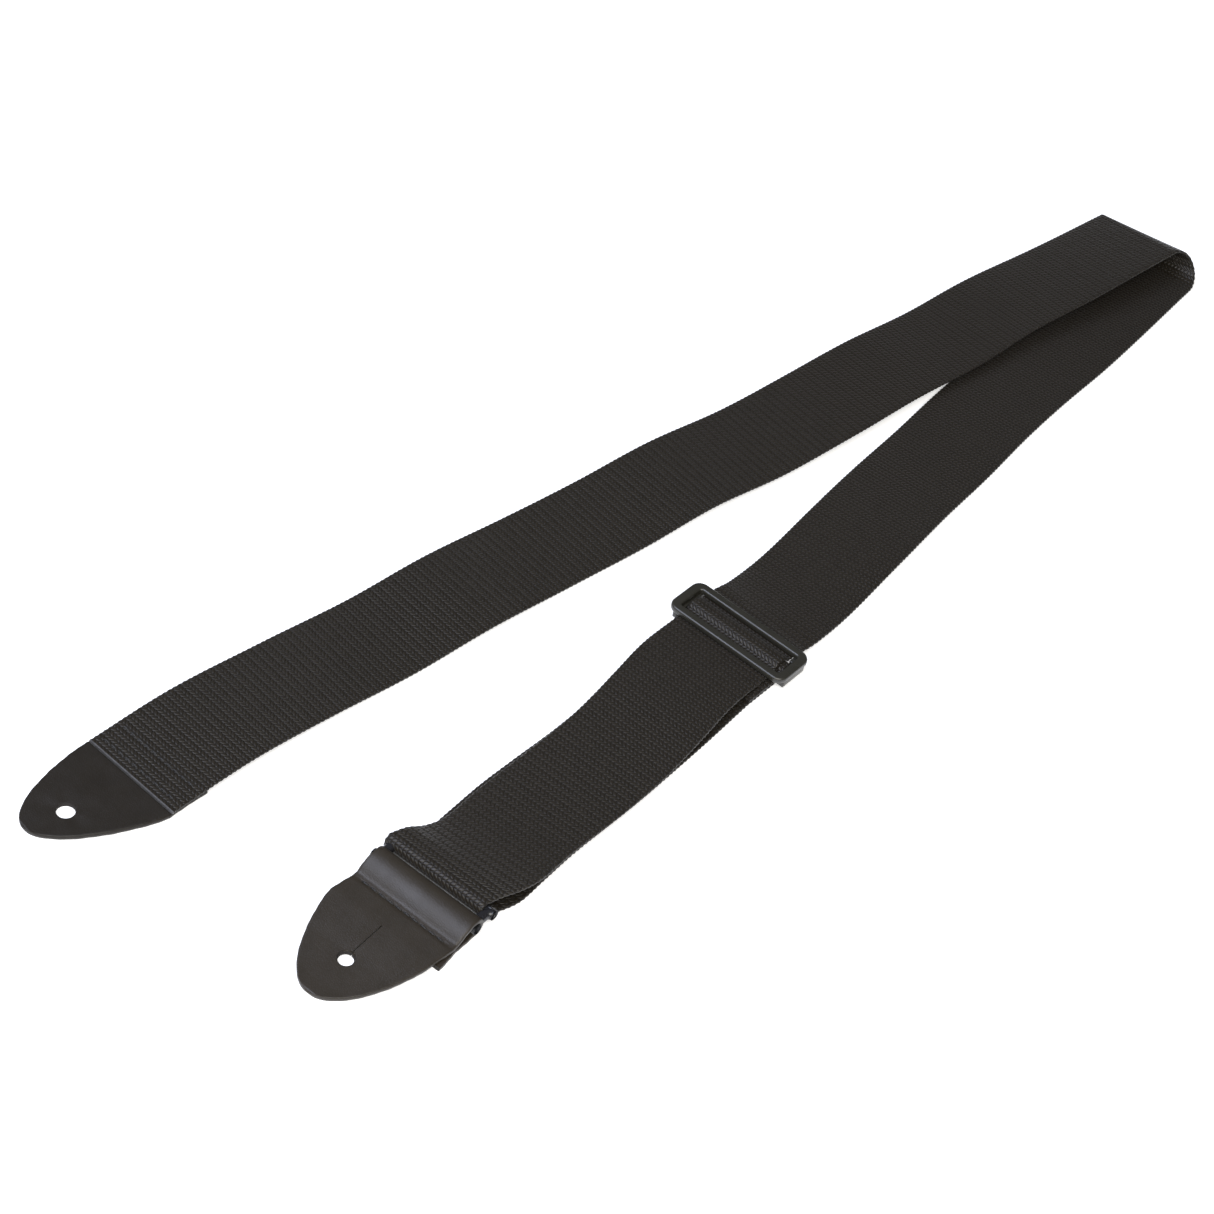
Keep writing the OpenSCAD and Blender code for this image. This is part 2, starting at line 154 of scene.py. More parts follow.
# woven floats: short ovals in columns along the strap, leaning left and right in turn
def buildWeave():
    tree, ins, outs = newGroup(
        "webbingWeave",
        [("Place", "NodeSocketVector", None), ("Pitch Across", "NodeSocketFloat", 0.0020),
         ("Pitch Along", "NodeSocketFloat", 0.0020), ("Lean", "NodeSocketFloat", 0.55),
         ("Stagger", "NodeSocketFloat", 0.25)],
        [("Height", "NodeSocketFloat"), ("Float", "NodeSocketFloat"), ("Shade", "NodeSocketFloat")],
    )
    split = tree.nodes.new("ShaderNodeSeparateXYZ")
    tree.links.new(ins["Place"], split.inputs[0])
    across = calc(tree, "DIVIDE", split.outputs[0], ins["Pitch Across"])
    along = calc(tree, "DIVIDE", split.outputs[1], ins["Pitch Along"])
    line = calc(tree, "FLOOR", along)
    inLine = calc(tree, "SUBTRACT", calc(tree, "SUBTRACT", along, line), 0.5)
    side = calc(tree, "SUBTRACT", calc(tree, "MULTIPLY", calc(tree, "PINGPONG", line, 1.0), 2.0), 1.0)
    shifted = calc(tree, "ADD", across, calc(tree, "MULTIPLY", line, ins["Stagger"]))
    leaned = calc(tree, "ADD", shifted, calc(tree, "MULTIPLY", calc(tree, "MULTIPLY", side, inLine), ins["Lean"]))
    column = calc(tree, "FLOOR", leaned)
    inColumn = calc(tree, "SUBTRACT", calc(tree, "SUBTRACT", leaned, column), 0.5)
    wide = calc(tree, "POWER", calc(tree, "ABSOLUTE", calc(tree, "DIVIDE", inColumn, 0.47)), 2.0)
    tall = calc(tree, "POWER", calc(tree, "ABSOLUTE", calc(tree, "DIVIDE", inLine, 0.52)), 2.6)
    bulge = calc(tree, "MAXIMUM", calc(tree, "SUBTRACT", 1.0, calc(tree, "ADD", wide, tall)), 0.0)
    swell = calc(tree, "POWER", bulge, 0.6)
    cell = tree.nodes.new("ShaderNodeCombineXYZ")
    tree.links.new(column, cell.inputs[0])
    tree.links.new(line, cell.inputs[1])
    random = tree.nodes.new("ShaderNodeTexWhiteNoise")
    random.noise_dimensions = "2D"
    tree.links.new(cell.outputs[0], random.inputs["Vector"])
    # filaments run along each float
    strand = tree.nodes.new("ShaderNodeCombineXYZ")
    tree.links.new(calc(tree, "MULTIPLY", along, 1.1), strand.inputs[0])
    tree.links.new(calc(tree, "MULTIPLY", leaned, 9.0), strand.inputs[1])
    tree.links.new(random.outputs["Value"], strand.inputs[2])
    fibre = noiseOn(tree, strand.outputs[0], 1.0, 2.0, 0.6)
    height = calc(tree, "ADD", swell, calc(tree, "MULTIPLY", fibre, 0.18))
    tree.links.new(height, outs["Height"])
    tree.links.new(calc(tree, "SMOOTH_MIN", calc(tree, "MULTIPLY", bulge, 2.2), 1.0, 0.1), outs["Float"])
    shade = calc(tree, "ADD", calc(tree, "MULTIPLY", random.outputs["Value"], 0.6), calc(tree, "MULTIPLY", fibre, 0.4))
    tree.links.new(shade, outs["Shade"])
    return tree


# fine pebbled hide with soft creases
def buildGrain():
    tree, ins, outs = newGroup(
        "hideGrain",
        [("Place", "NodeSocketVector", None), ("Cell Scale", "NodeSocketFloat", 1100.0),
         ("Crease Scale", "NodeSocketFloat", 45.0)],
        [("Height", "NodeSocketFloat"), ("Crease", "NodeSocketFloat"), ("Shade", "NodeSocketFloat")],
    )
    cells = tree.nodes.new("ShaderNodeTexVoronoi")
    cells.feature = "DISTANCE_TO_EDGE"
    tree.links.new(ins["Place"], cells.inputs["Vector"])
    tree.links.new(ins["Cell Scale"], cells.inputs["Scale"])
    pebble = calc(tree, "SMOOTH_MIN", calc(tree, "MULTIPLY", cells.outputs["Distance"], 3.0), 0.6, 0.3)
    fine = noiseOn(tree, ins["Place"], 2600.0, 2.0, 0.55)
    crease = tree.nodes.new("ShaderNodeTexNoise")
    tree.links.new(ins["Place"], crease.inputs["Vector"])
    tree.links.new(ins["Crease Scale"], crease.inputs["Scale"])
    crease.inputs["Detail"].default_value = 4.0
    crease.inputs["Distortion"].default_value = 0.8
    height = calc(tree, "ADD", calc(tree, "MULTIPLY", pebble, 0.7), calc(tree, "MULTIPLY", fine, 0.35))
    tree.links.new(height, outs["Height"])
    tree.links.new(crease.outputs["Fac"], outs["Crease"])
    pebbleShade = calc(tree, "MULTIPLY", pebble, 0.5)
    shade = calc(tree, "ADD", pebbleShade, calc(tree, "MULTIPLY", noiseOn(tree, ins["Place"], 160.0, 3.0), 0.7))
    tree.links.new(shade, outs["Shade"])
    return tree


# handling wear: hairline scratches, dull patches and a little dust
def buildWear():
    tree, ins, outs = newGroup(
        "handlingWear",
        [("Place", "NodeSocketVector", None), ("Scratch Scale", "NodeSocketFloat", 260.0),
         ("Patch Scale", "NodeSocketFloat", 70.0)],
        [("Scratch", "NodeSocketFloat"), ("Dull", "NodeSocketFloat")],
    )
    stretch = tree.nodes.new("ShaderNodeVectorMath")
    stretch.operation = "MULTIPLY"
    stretch.inputs[1].default_value = (1.0, 0.08, 1.0)
    tree.links.new(ins["Place"], stretch.inputs[0])
    lines = tree.nodes.new("ShaderNodeTexNoise")
    tree.links.new(stretch.outputs[0], lines.inputs["Vector"])
    tree.links.new(calc(tree, "MULTIPLY", ins["Scratch Scale"], 8.0), lines.inputs["Scale"])
    lines.inputs["Detail"].default_value = 3.0
    thin = calc(tree, "MULTIPLY", calc(tree, "MAXIMUM", calc(tree, "SUBTRACT", lines.outputs["Fac"], 0.62), 0.0), 6.0)
    patch = tree.nodes.new("ShaderNodeTexNoise")
    tree.links.new(ins["Place"], patch.inputs["Vector"])
    tree.links.new(ins["Patch Scale"], patch.inputs["Scale"])
    patch.inputs["Detail"].default_value = 4.0
    tree.links.new(thin, outs["Scratch"])
    tree.links.new(patch.outputs["Fac"], outs["Dull"])
    return tree


weaveGroup, grainGroup, wearGroup = buildWeave(), buildGrain(), buildWear()


def newMaterial(name, **constants):
    material = bpy.data.materials.new(name)
    material.use_nodes = True
    tree = material.node_tree
    shader = tree.nodes["Principled BSDF"]
    for label, value in constants.items():
        shader.inputs[label.replace("_", " ")].default_value = value
    return material, tree, shader


def placeGroup(tree, group, place):
    node = tree.nodes.new("ShaderNodeGroup")
    node.node_tree = group
    tree.links.new(place, node.inputs["Place"])
    return node.outputs


def objectPlace(tree):
    return tree.nodes.new("ShaderNodeTexCoord").outputs["Object"]


def strapPlace(tree):
    node = tree.nodes.new("ShaderNodeUVMap")
    node.uv_map = "strapMap"
    return node.outputs[0]


def blendColours(tree, factor, dark, light):
    node = tree.nodes.new("ShaderNodeMix")
    node.data_type = "RGBA"
    node.clamp_factor = True
    tree.links.new(factor, node.inputs["Factor"])
    for index, value in ((6, dark), (7, light)):
        if isinstance(value, tuple):
            node.inputs[index].default_value = (*value, 1)
        else:
            tree.links.new(value, node.inputs[index])
    return node.outputs[2]


def remap(tree, value, low, high):
    node = tree.nodes.new("ShaderNodeMapRange")
    tree.links.new(value, node.inputs["Value"])
    node.inputs["To Min"].default_value = low
    node.inputs["To Max"].default_value = high
    return node.outputs["Result"]


def addBump(tree, shader, height, distance, strength=1.0, under=None):
    bump = tree.nodes.new("ShaderNodeBump")
    bump.inputs["Strength"].default_value = strength
    bump.inputs["Distance"].default_value = distance
    tree.links.new(height, bump.inputs["Height"])
    if under is not None:
        tree.links.new(under, bump.inputs["Normal"])
    tree.links.new(bump.outputs[0], shader.inputs["Normal"])
    return bump.outputs[0]


webbingLook = {
    "gapColour": (0.0068, 0.0052, 0.0031),
    "darkFloat": (0.0086, 0.0064, 0.0036),
    "lightFloat": (0.0150, 0.0113, 0.0064),
    "reliefHeight": 0.00038,
}


def makeWebbing():
    material, tree, shader = newMaterial(
        "blackWebbing", Specular_IOR_Level=0.32, Sheen_Weight=0.05, Sheen_Roughness=0.5)
    place = strapPlace(tree)
    weave = placeGroup(tree, weaveGroup, place)
    floats = blendColours(tree, weave["Shade"], webbingLook["darkFloat"], webbingLook["lightFloat"])
    cloudy = noiseOn(tree, objectPlace(tree), 28.0, 3.0)
    worn = blendColours(tree, remap(tree, cloudy, 0.0, 0.5), floats, (0.0165, 0.0125, 0.0072))
    colour = blendColours(tree, weave["Float"], webbingLook["gapColour"], worn)
    tree.links.new(colour, shader.inputs["Base Color"])
    tree.links.new(remap(tree, weave["Shade"], 0.32, 0.46), shader.inputs["Roughness"])
    addBump(tree, shader, weave["Height"], webbingLook["reliefHeight"], 0.75)
    return material


def makeSealedEdge():
    material, tree, shader = newMaterial("meltedWebEnd", Specular_IOR_Level=0.6)
    place = objectPlace(tree)
    lumps = noiseOn(tree, place, 900.0, 2.0)
    tree.links.new(blendColours(tree, lumps, (0.035, 0.034, 0.034), (0.11, 0.11, 0.115)), shader.inputs["Base Color"])
    tree.links.new(remap(tree, lumps, 0.25, 0.5), shader.inputs["Roughness"])
    addBump(tree, shader, lumps, 0.0002, 0.6)
    return material


leatherLook = {"dark": (0.0170, 0.0132, 0.0085), "light": (0.028, 0.0222, 0.0150), "scratch": (0.055, 0.048, 0.042)}


def makeLeather(name, shade, shine):
    material, tree, shader = newMaterial(name, Specular_IOR_Level=shine)
    place = objectPlace(tree)
    grain = placeGroup(tree, grainGroup, place)
    wear = placeGroup(tree, wearGroup, place)
    dark, light, scratch = (tuple(shade * v for v in leatherLook[key]) for key in ("dark", "light", "scratch"))
    colour = blendColours(tree, grain["Shade"], dark, light)
    faded = blendColours(tree, remap(tree, wear["Scratch"], 0.0, 0.35), colour, scratch)
    tree.links.new(faded, shader.inputs["Base Color"])
    tree.links.new(remap(tree, wear["Dull"], 0.32, 0.52), shader.inputs["Roughness"])
    soft = addBump(tree, shader, grain["Crease"], 0.0010, 0.22)
    addBump(tree, shader, grain["Height"], 0.00012, 0.55, soft)
    return material


def makeHideEdge():
    material, tree, shader = newMaterial("cutHideEdge", Specular_IOR_Level=0.2)
    fibres = noiseOn(tree, objectPlace(tree), 1500.0, 4.0, 0.7)
    colour = blendColours(tree, fibres, (0.010, 0.009, 0.008), (0.040, 0.036, 0.032))
    tree.links.new(colour, shader.inputs["Base Color"])
    tree.links.new(remap(tree, fibres, 0.65, 0.9), shader.inputs["Roughness"])
    addBump(tree, shader, fibres, 0.0003, 0.8)
    return material


def makeThread():
    material, tree, shader = newMaterial("waxedThread", Specular_IOR_Level=0.5, Sheen_Weight=0.05)
    twist = tree.nodes.new("ShaderNodeTexWave")
    twist.bands_direction = "DIAGONAL"
    tree.links.new(objectPlace(tree), twist.inputs["Vector"])
    twist.inputs["Scale"].default_value = 620.0
    twist.inputs["Distortion"].default_value = 0.6
    colour = blendColours(tree, twist.outputs["Fac"], (0.004, 0.0038, 0.0036), (0.017, 0.0155, 0.014))
    tree.links.new(colour, shader.inputs["Base Color"])
    tree.links.new(remap(tree, twist.outputs["Fac"], 0.6, 0.42), shader.inputs["Roughness"])
    addBump(tree, shader, twist.outputs["Fac"], 0.00012, 0.8)
    return material


def makePlastic(name, dark, light, low, high):
    material, tree, shader = newMaterial(name, Specular_IOR_Level=0.5, IOR=1.49)
    place = objectPlace(tree)
    wear = placeGroup(tree, wearGroup, place)
    mould = noiseOn(tree, place, 1900.0, 2.0)
    colour = blendColours(tree, wear["Dull"], dark, light)
    scuffed = blendColours(tree, remap(tree, wear["Scratch"], 0.0, 0.5), colour, (0.06, 0.06, 0.064))
    tree.links.new(scuffed, shader.inputs["Base Color"])
    tree.links.new(remap(tree, wear["Dull"], low, high), shader.inputs["Roughness"])
    addBump(tree, shader, mould, 0.00005, 0.5)
    return material


def makeFloor():
    material, tree, shader = newMaterial(
        "paleFloor", Roughness=0.9, Specular_IOR_Level=0.1, Emission_Color=(1, 1, 1, 1), Emission_Strength=0.4)
    mottle = noiseOn(tree, objectPlace(tree), 3.0, 2.0)
    tree.links.new(blendColours(tree, mottle, (0.93, 0.93, 0.93), (0.96, 0.96, 0.96)), shader.inputs["Base Color"])
    return material


webbing, sealedEdge, hideEdge, thread = makeWebbing(), makeSealedEdge(), makeHideEdge(), makeThread()
hide, darkerHide = makeLeather("darkHide", 0.97, 0.38), makeLeather("darkerHide", 0.56, 0.28)
sliderPlastic = makePlastic("mouldedSliderPlastic", (0.016, 0.0152, 0.0115), (0.026, 0.0248, 0.019), 0.22, 0.34)
ringPlastic = makePlastic("glossyRingCoating", (0.009, 0.009, 0.010), (0.014, 0.014, 0.016), 0.18, 0.32)

bpy.ops.mesh.primitive_plane_add(size=stand["floorSize"], location=(0, 0, cadBox[0][2] - 0.0001))
floor = bpy.context.object
floor.name = "studioFloor"
bpy.ops.object.transform_apply(location=True, rotation=True, scale=True)
floor.data.materials.append(makeFloor())
print("materials and floor ready")

# the strap's route, in millimetres from the button tab's hole

strap = {
    "width": 49.5, "thickness": 1.42, "floorLift": 0.04,
    "rowStep": 0.62, "columns": 22, "edgeRipple": 0.16, "ripplePitch": 2.5,
    "foldRoll": 9.0, "foldBulge": 1.4, "rollFrom": 450.0, "rollTo": 636.0,
}
slider = {
    "middle": (247.0, -3.6), "turn": -2.0, "crossShift": 0.6, "endShift": -2.1,
    "underZ": 3.97, "tailZ": 2.37, "tailLength": 26.1, "tailTop": 25.8, "crossLength": 12.5, "loopEnd": 26,
    "barZ": 3.1, "barHalf": 2.5, "innerWrap": 2.35, "outerWrap": 3.95,
    "length": 22.7, "width": 63.0, "thick": 3.2, "frameZ": 4.8, "corner": 5.0, "slotWidth": 54.0, "slotLength": 14.0,
}
ring = {
    "nearBar": 44.0, "pitch": 10.0, "middleY": -0.8, "barZ": 4.6, "bar": 4.5, "span": 59.3, "corner": 3.0,
    "webWrap": 3.1, "wrapY": 1.5,
}
farBarX = ring["nearBar"] + ring["pitch"]


def onSlider(x, y, z):
    turn = math.radians(slider["turn"])
    return [slider["middle"][0] + x * math.cos(turn) - y * math.sin(turn),
            slider["middle"][1] + x * math.sin(turn) + y * math.cos(turn), z]


longLegLine = np.array([
    [5.5, 118.5, 3.1], [48, 115.5, 4], [92, 110, 2.5], [136, 103.5, 1], [180, 97.5, 2.5], [224, 91, 1],
    [268, 83.5, 1.5], [312, 76.5, 3.5], [356, 67.5, 3], [400, 60, 5], [444, 54, 6], [488, 46.5, 6],
    [532, 40.5, 8], [578, 31, 10], [636, 20.5, 12.5]])
shortLegLine = np.array([
    onSlider(slider["crossLength"], slider["crossShift"], slider["underZ"]), [272, -5, 2.8], [300, -4.5, 0.75],
    [340, -2.5, 2], [380, 0, 1.5], [420, 1.5, 0.75], [460, 3.5, 1],
    [500, 4.5, 0.75], [540, 4, 0.75], [580, 5, 0.75], [631, 6.5, 0.75]])
loopTopLine = np.array([
    [54, 1.5, 7.7, 0], [61, -0.8, 7.6, 1], [69, -4.2, 6.6, 4], [80, -6, 5.4, 5], [100, -5.2, 3.9, 3.5],
    [130, -6.2, 3.3, 2], [155, -6.6, 3.4, 1.5], [172, -5.8, 3.8, 1.5], [190, -4.4, 4.6, 1], [212, -2.4, 4.8, 0.5],
    onSlider(-slider["crossLength"], slider["crossShift"], slider["underZ"]) + [0]])
loopReturnLine = np.array([
    [54, 1.5, 1.5], [61, -1.8, 1.1], [70, -4, 0.75], [84, -3.8, 0.75], [104, -3.5, 0.75], [126, -4.4, 0.75],
    [150, -5.4, 0.75], [185, -5.4, 0.75], onSlider(-slider["tailLength"], slider["endShift"], 0.75)])


def along(line, u):  # smooth line through the points; the ends run on straight
    def pointAt(k):
        if k < 0:
            return 2 * line[0] - line[1]
        if k > len(line) - 1:
            return 2 * line[-1] - line[-2]
        return line[k]
    i = min(len(line) - 2, max(0, math.floor(u)))
    t = u - i
    a, b, c, d = pointAt(i - 1), line[i], line[i + 1], pointAt(i + 2)
    return b + (c - a) * t / 2 + (2 * a - 5 * b + 4 * c - d) * t * t / 2 + (3 * b - a - 3 * c + d) * t ** 3 / 2


def heading(line, u):
    step = along(line, u + 0.01) - along(line, u - 0.01)
    return math.atan2(step[1], step[0])


def sideOf(turn, roll):
    return np.array([-math.sin(turn) * math.cos(roll), math.cos(turn) * math.cos(roll), -math.sin(roll)])


def crossLine(centre, side):
    half = strap["width"] / 2
    return centre[:3] + side * half, centre[:3] - side * half


def ease(t):
    t = min(1.0, max(0.0, t))
    return t * t * (3 - 2 * t)


def longCross(u):
    centre = along(longLegLine, u)
    roll = strap["foldRoll"] * min(1, max(0, (centre[0] - strap["rollFrom"]) / (strap["rollTo"] - strap["rollFrom"])))
    return crossLine(centre, sideOf(heading(longLegLine, u), math.radians(roll)))


def shortCross(u):
    turn = math.radians(slider["turn"])
    turn += (heading(shortLegLine, u) - turn) * min(1, max(0, u))
    return crossLine(along(shortLegLine, u), sideOf(turn, 0))


def loopTurn(x):
    return math.radians(slider["turn"]) * ease((x - farBarX) / (slider["middle"][0] - slider["loopEnd"] - farBarX))


def loopTopCross(u):
    centre = along(loopTopLine, u)
    return crossLine(centre, sideOf(loopTurn(centre[0]), math.radians(centre[3])))


def loopReturnCross(u):
    centre = along(loopReturnLine, u)
    return crossLine(centre, sideOf(loopTurn(centre[0]), 0))


def foldCross(f):  # each edge goes round its own half ellipse, f is 0 below and 1 above
    low, high = shortCross(len(shortLegLine) - 1), longCross(len(longLegLine) - 1)
    edges = []
    for a, b in zip(low, high):
        r = (b[2] - a[2]) / 2
        y = a[1] * (1 + 2 * f) * (1 - f) ** 2 + f * (1 - f) ** 2 + b[1] * f * f * (3 - 2 * f) - 5 * f * f * (1 - f)
        edges.append(np.array([a[0] + (b[0] - a[0]) * f + strap["foldBulge"] * r * math.sin(math.pi * f), y,
                               a[2] + r * (1 - math.cos(math.pi * f))]))
    return edges


def arcPoints(centre, r, start, end, count=24):
    angles = np.radians(np.linspace(start, end, count + 1))
    return [(centre[0] + r * math.cos(a), centre[1] + r * math.sin(a)) for a in angles]


def sliderCrosses(profile, shift):
    side = sideOf(math.radians(slider["turn"]), 0)
    return [crossLine(np.array(onSlider(x, shift, z)), side) for x, z in profile]


def crossingProfile():
    reach, turnR = slider["outerWrap"], 2.0
    endX, turnZ = 1.0, slider["underZ"] + 2.0
    turnX = endX + math.sqrt((reach + turnR) ** 2 - (turnZ - slider["barZ"]) ** 2)
    turnA = math.degrees(math.asin((turnZ - slider["barZ"]) / (reach + turnR)))
    left = [(-slider["crossLength"], slider["underZ"])] + arcPoints((-turnX, turnZ), turnR, -90, -turnA) + \
        arcPoints((-endX, slider["barZ"]), reach, 180 - turnA - 4, 90)
    right = arcPoints((endX, slider["barZ"]), reach, 90, turnA + 4) + \
        arcPoints((turnX, turnZ), turnR, 180 + turnA, 270) + [(slider["crossLength"], slider["underZ"])]
    return left + right


def sewnEndProfile():
    reach, turnR, endX = slider["innerWrap"], 1.5, 1.0
    turnZ = slider["tailZ"] + turnR
    turnX = endX + math.sqrt((reach + turnR) ** 2 - (turnZ - slider["barZ"]) ** 2)
    turnA = math.degrees(math.asin((turnZ - slider["barZ"]) / (reach + turnR)))
    return [(-slider["tailLength"], 0.75)] + arcPoints((endX, slider["barZ"]), reach, -90, 90) + \
        arcPoints((-endX, slider["barZ"]), reach, 90, 180 - turnA - 4) + \
        arcPoints((-turnX, turnZ), turnR, -turnA, -90) + [(-slider["tailTop"], slider["tailZ"])]


def spread(crosses, step):  # cross lines at even spacing along the middle
    left, right = (np.array([c[k] for c in crosses]) for k in (0, 1))
    middle = (left + right) / 2
    run = np.concatenate([[0], np.cumsum(np.linalg.norm(np.diff(middle, axis=0), axis=1))])
    even = np.linspace(0, run[-1], max(3, int(round(run[-1] / step)) + 1))
    pick = lambda side: np.stack([np.interp(even, run, side[:, k]) for k in range(3)], 1)
    return pick(left), pick(right)


def runOf(crossAt, start, end, perStep=40):
    count = int(abs(end - start) * perStep) + 2
    return [crossAt(u) for u in np.linspace(start, end, count)]


ringSide = sideOf(0, 0)
wrapCrosses = []
for a in np.linspace(0, math.pi, 40):
    wrapX, wrapZ = farBarX - ring["webWrap"] * math.sin(a), ring["barZ"] + ring["webWrap"] * math.cos(a)
    wrapCrosses.append(crossLine(np.array([wrapX, ring["wrapY"], wrapZ]), ringSide))
# one webbing from the fixed tab to the sewn end, in the order it runs
stretches = [
    ("longLeg", runOf(longCross, 0, len(longLegLine) - 1)),
    ("fold", [foldCross(f) for f in np.linspace(1, 0, 120)]),
    ("shortLeg", runOf(shortCross, len(shortLegLine) - 1, 0)),
    ("crossing", sliderCrosses(crossingProfile()[::-1], slider["crossShift"])),
    ("loopTop", runOf(loopTopCross, len(loopTopLine) - 1, 0)),
    ("ringWrap", wrapCrosses),
    ("loopReturn", runOf(loopReturnCross, 0, len(loopReturnLine) - 1)),
    ("sewnEnd", sliderCrosses(sewnEndProfile(), slider["endShift"])),
]
bounds, lefts, rights = {}, [], []
count = 0
for name, crosses in stretches:
    left, right = spread(crosses, strap["rowStep"])
    if count:
        left, right = left[1:], right[1:]  # the first row is the last one of the stretch before
        bounds[name] = (count - 1, count - 1 + len(left))
    else:
        bounds[name] = (0, len(left) - 1)
    lefts.append(left)
    rights.append(right)
    count += len(left)
leftEdge, rightEdge = np.concatenate(lefts), np.concatenate(rights)
middle = (leftEdge + rightEdge) / 2
middle[:, 2] += strap["floorLift"]
strapSide = leftEdge - rightEdge
strapHalf = np.linalg.norm(strapSide, axis=1) / 2
strapSide /= 2 * strapHalf[:, None]
strapRun = np.concatenate([[0], np.cumsum(np.linalg.norm(np.diff(middle, axis=0), axis=1))])
tangent = np.gradient(middle, axis=0)
strapUp = np.cross(tangent, strapSide)
strapUp /= np.linalg.norm(strapUp, axis=1)[:, None]
print("webbing runs %.0f mm" % strapRun[-1])


# bands: a grid rolled round the cross section of a strip


def sectionPoints(columns, rim=4):  # (share of half width, rim outward, rim up) round a strip's section
    across = np.linspace(1, -1, columns + 1)
    points = [(s, 0.0, 1.0) for s in across]
    points += [(-1, -math.sin(a), math.cos(a)) for a in np.linspace(0, math.pi, rim + 2)[1:-1]]
    points += [(s, 0.0, -1.0) for s in across[::-1]]
    points += [(1, math.sin(a), math.cos(a)) for a in np.linspace(math.pi, 0, rim + 2)[1:-1]]
    points.append(points[0])
    return np.array(points)


def rollBand(name, centre, side, up, half, thick, run, columns, rim=4, rimRadius=None, relief=None):
    section = sectionPoints(columns, rim)
    rows, ringCount = len(centre), len(section)
    thick = np.broadcast_to(thick, rows)
    rimRound = np.minimum(thick / 2 if rimRadius is None else rimRadius, half * 0.9)
    across = section[None, :, 0] * (half - rimRound)[:, None] + section[None, :, 1] * rimRound[:, None]
    height = section[None, :, 2] * (thick / 2)[:, None]
    if relief is not None:
        height = height + relief(across, section[None, :, 2])
    spots = centre[:, None, :] + side[:, None, :] * across[..., None] + up[:, None, :] * height[..., None]
    spots = (spots + origin) * mm
    bpy.ops.mesh.primitive_grid_add(x_subdivisions=ringCount - 1, y_subdivisions=rows - 1, size=1)
    piece = bpy.context.object
    piece.name = name
    mesh = piece.data
    mesh.name = name
    flat = np.zeros(len(mesh.vertices) * 3)
    mesh.vertices.foreach_get("co", flat)
    flat = flat.reshape(-1, 3)
    column = np.rint((flat[:, 0] + 0.5) * (ringCount - 1)).astype(int)
    row = np.rint((flat[:, 1] + 0.5) * (rows - 1)).astype(int)
    mesh.vertices.foreach_set("co", spots[row, column].ravel())
    corner = np.zeros(len(mesh.loops), int)
    mesh.loops.foreach_get("vertex_index", corner)
    for layer in list(mesh.uv_layers):
        mesh.uv_layers.remove(layer)
    chart = mesh.uv_layers.new(name="strapMap")
    uv = np.stack([across[row, column], run[row]], 1)[corner] * mm
    chart.data.foreach_set("uv", uv.ravel())
    bpy.ops.object.mode_set(mode="EDIT")
    bpy.ops.mesh.select_all(action="SELECT")
    bpy.ops.mesh.remove_doubles(threshold=1e-6)
    bpy.ops.mesh.fill_holes(sides=0)  # close the two cut ends
    bpy.ops.mesh.select_all(action="SELECT")
    bpy.ops.mesh.normals_make_consistent(inside=False)
    bpy.ops.object.mode_set(mode="OBJECT")
    bpy.ops.object.shade_smooth_by_angle(angle=math.radians(50))
    return piece


def onlySelect(piece):
    bpy.ops.object.select_all(action="DESELECT")
    piece.select_set(True)
    bpy.context.view_layer.objects.active = piece


def finishPiece(piece, material):
    piece.data.materials.clear()
    piece.data.materials.append(material)
    bpy.ops.object.select_all(action="DESELECT")
    return piece


def webbingPiece(name, first, last):
    rows = slice(first, last + 1)
    run = strapRun[rows]
    half = strapHalf[rows] - 0.1 + strap["edgeRipple"] * np.sin(run * 2 * math.pi / strap["ripplePitch"]) \
        + 0.12 * np.sin(run / 17.0) * np.sin(run / 41.0)
    frameRows = (middle[rows], strapSide[rows], strapUp[rows])
    piece = rollBand(name, *frameRows, half, strap["thickness"], run, strap["columns"])
    return finishPiece(piece, webbing)


longLegWebbing = webbingPiece("longLegWebbing", *bounds["longLeg"])
longLegWebbing.data.materials.append(sealedEdge)
firstHeading = tangent[0] / np.linalg.norm(tangent[0])
sealFrom, sealAlong = (Vector((v[0], v[1], 0)) for v in ((middle[0] + origin) * mm, firstHeading))
for face in longLegWebbing.data.polygons:  # the cut end is melted so that it can't fray
    if (face.center - sealFrom).dot(sealAlong) < 0.7 * mm:
        face.material_index = 1
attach(longLegWebbing, "long_leg")
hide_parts("long_leg_webbing")

foldWebbing = webbingPiece("foldWebbing", *bounds["fold"])
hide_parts("fold_webbing")
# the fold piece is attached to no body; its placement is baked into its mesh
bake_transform(foldWebbing)

shortLegWebbing = webbingPiece("shortLegWebbing", *bounds["shortLeg"])
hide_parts("short_leg_webbing")
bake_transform(shortLegWebbing)

crossingWebbing = webbingPiece("sliderCrossingWebbing", *bounds["crossing"])
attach(crossingWebbing, "slider")
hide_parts("slider_crossing_webbing")

loopWebbing = webbingPiece("loopWebbing", bounds["loopTop"][0], bounds["loopReturn"][1])
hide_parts("loop_top_webbing", "ring_wrap_webbing", "loop_return_webbing")
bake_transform(loopWebbing)

sewnEndWebbing = webbingPiece("sewnEndWebbing", *bounds["sewnEnd"])
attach(sewnEndWebbing, "slider")
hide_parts("sewn_end_webbing")
print("webbing ready")


# leather tabs

